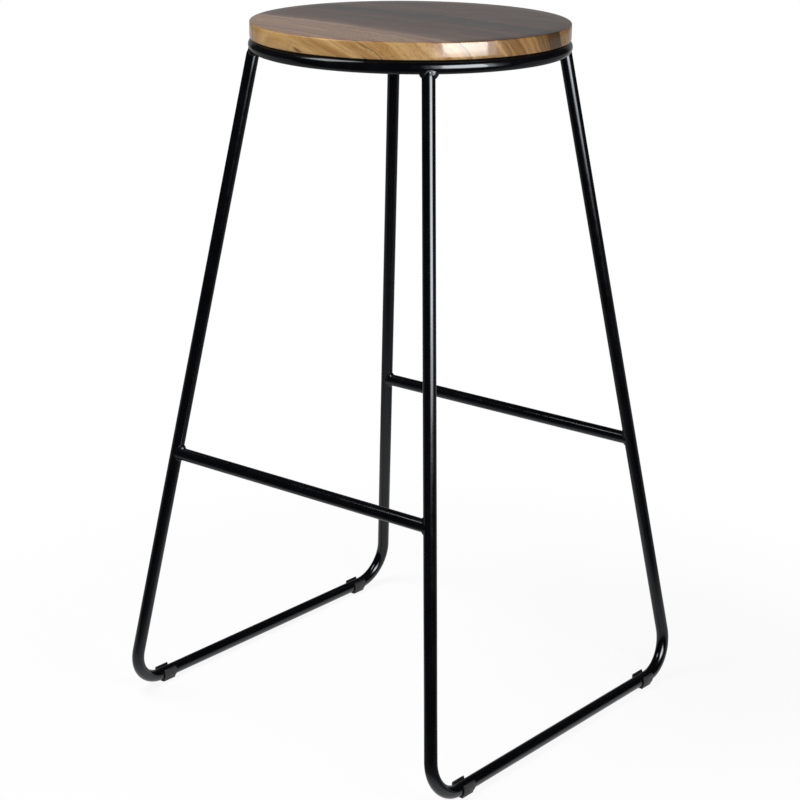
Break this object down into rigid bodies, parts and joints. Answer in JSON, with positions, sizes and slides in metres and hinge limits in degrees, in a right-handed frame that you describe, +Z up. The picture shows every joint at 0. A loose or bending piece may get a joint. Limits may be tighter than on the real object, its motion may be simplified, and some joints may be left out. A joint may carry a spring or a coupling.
{
  "type": "bar stool with footrest",
  "caption": "Tall stool with a round wooden seat on a welded black steel bar frame, sled runners at the floor, footrest bars at front and rear and clip-on plastic floor glides.",
  "frame": {"origin": "on the floor, at the centre of the base", "axes": "+Z up; the floor runners lie along Y, the footrests along X, and -Y is the front"},
  "size_m": [0.4508, 0.4502, 0.76],
  "materials": {
    "seat_wood": "clear gloss lacquer over figured light brown hardwood",
    "black_steel": "gloss black powder coat",
    "glide_plastic": "matte black moulded plastic",
    "zinc_steel": "zinc plated"
  },
  "bodies": {
    "root": {"seat_top": "seat_wood", "seat_ring": "black_steel", "side_frame_left": "black_steel", "side_frame_right": "black_steel", "footrest_front": "black_steel", "footrest_rear": "black_steel", "seat_tab_front": "black_steel", "seat_tab_rear": "black_steel", "seat_tab_left": "black_steel", "seat_tab_right": "black_steel", "seat_screw_front": "zinc_steel", "seat_screw_rear": "zinc_steel", "seat_screw_left": "zinc_steel", "seat_screw_right": "zinc_steel", "screw_washer_front": "zinc_steel", "screw_washer_rear": "zinc_steel", "screw_washer_left": "zinc_steel", "screw_washer_right": "zinc_steel", "weld_leg_front_left": "black_steel", "weld_leg_front_right": "black_steel", "weld_leg_rear_left": "black_steel", "weld_leg_rear_right": "black_steel", "weld_footrest_front_left": "black_steel", "weld_footrest_front_right": "black_steel", "weld_footrest_rear_left": "black_steel", "weld_footrest_rear_right": "black_steel", "floor_glide_front_left": "glide_plastic", "floor_glide_front_right": "glide_plastic", "floor_glide_rear_left": "glide_plastic", "floor_glide_rear_right": "glide_plastic"}
  },
  "joints": []
}
